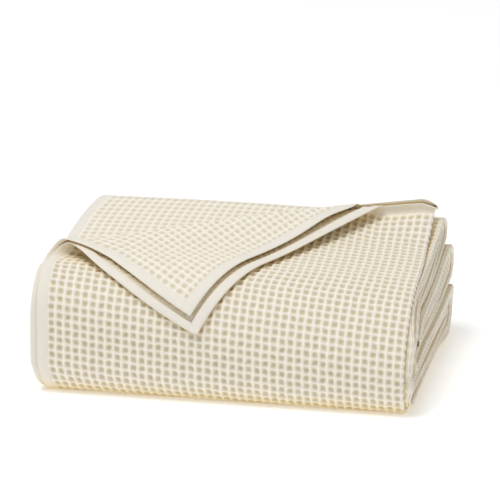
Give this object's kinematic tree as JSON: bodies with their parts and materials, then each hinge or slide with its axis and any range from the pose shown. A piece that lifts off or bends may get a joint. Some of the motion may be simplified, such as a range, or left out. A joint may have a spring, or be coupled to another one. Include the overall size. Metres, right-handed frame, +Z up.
{
  "type": "folded blanket",
  "caption": "Waffle weave cotton blanket folded into a soft bundle, one corner turned back over the rounded front.",
  "frame": {"origin": "on the floor under the middle of the bundle's box", "axes": "+X along the bundle towards the end where the layers show, -Y out of the rounded front, +Z up"},
  "size_m": [0.432, 0.2965, 0.1661],
  "materials": {
    "cotton": "matte waffle weave"
  },
  "bodies": {
    "root": {"blanket": "cotton"}
  },
  "joints": []
}
